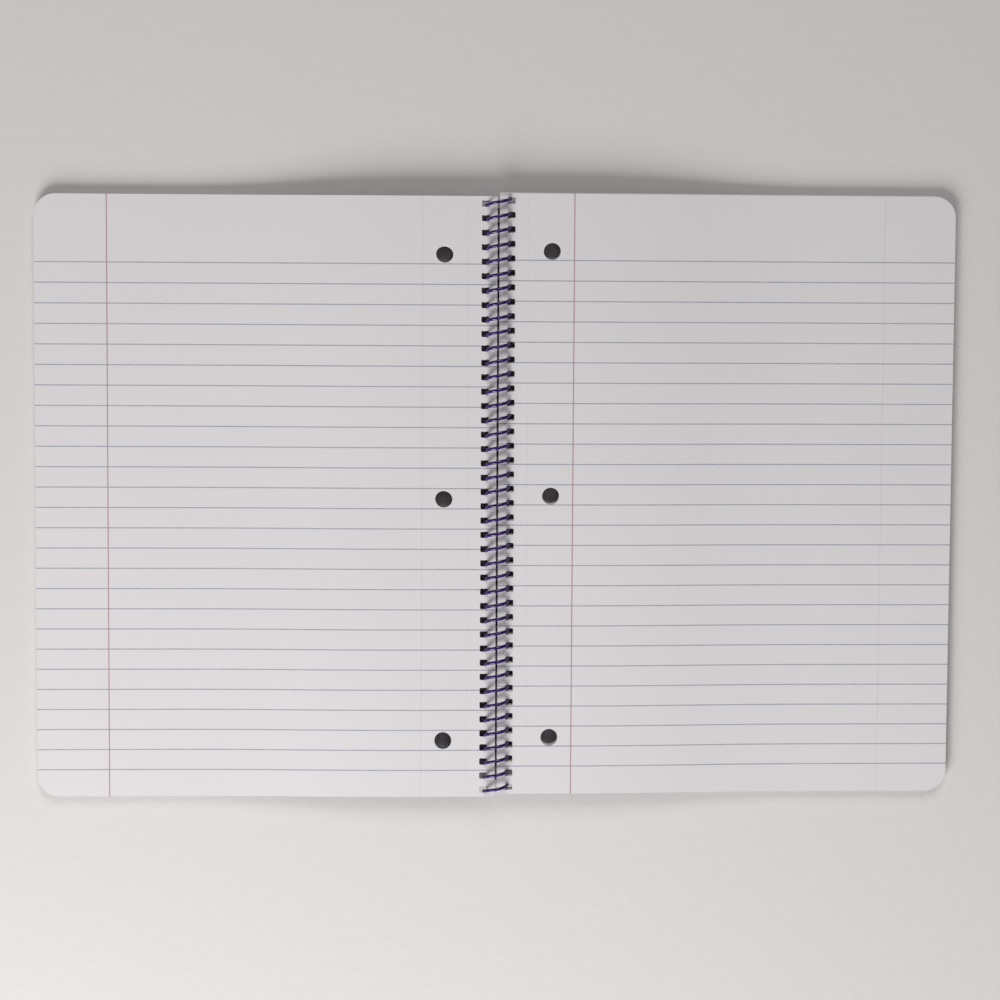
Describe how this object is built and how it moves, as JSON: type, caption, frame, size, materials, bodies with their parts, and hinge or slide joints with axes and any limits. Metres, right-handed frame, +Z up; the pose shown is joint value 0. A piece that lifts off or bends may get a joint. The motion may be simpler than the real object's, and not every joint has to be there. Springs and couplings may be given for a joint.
{
  "type": "open spiral notebook",
  "caption": "Spiral-bound ruled notebook lying open, two page blocks and covers on a plastic coil, punched for ring binders.",
  "frame": {"origin": "below the middle of the open notebook, on the surface it lies on", "axes": "+X across the open pages to the right, +Y along the coil to the pages' top, +Z up"},
  "size_m": [0.4072, 0.2686, 0.012],
  "materials": {
    "coil_plastic": "gloss",
    "paper": "matte",
    "cover_plastic": "satin"
  },
  "bodies": {
    "coil": {"coil": "coil_plastic"},
    "turned_sheets": {"turned_sheets": "paper"},
    "remaining_sheets": {"remaining_sheets": "paper"},
    "front_cover": {"front_cover": "cover_plastic"},
    "back_cover": {"back_cover": "cover_plastic"}
  },
  "joints": [
    {"name": "turned_sheets_hinge", "type": "hinge", "parent": "coil", "child": "turned_sheets", "pos_m": [-0.00145, 0, 0.00648], "axis": [0, 1, 0], "range_deg": [0, 90]},
    {"name": "remaining_sheets_hinge", "type": "hinge", "parent": "coil", "child": "remaining_sheets", "pos_m": [0.00145, 0, 0.00648], "axis": [0, -1, 0], "range_deg": [0, 90]},
    {"name": "front_cover_hinge", "type": "hinge", "parent": "turned_sheets", "child": "front_cover", "pos_m": [-0.00182, 0, 0.0053], "axis": [0, -1, 0], "range_deg": [0, 84]},
    {"name": "back_cover_hinge", "type": "hinge", "parent": "remaining_sheets", "child": "back_cover", "pos_m": [0.00182, 0, 0.0053], "axis": [0, 1, 0], "range_deg": [0, 84]}
  ]
}
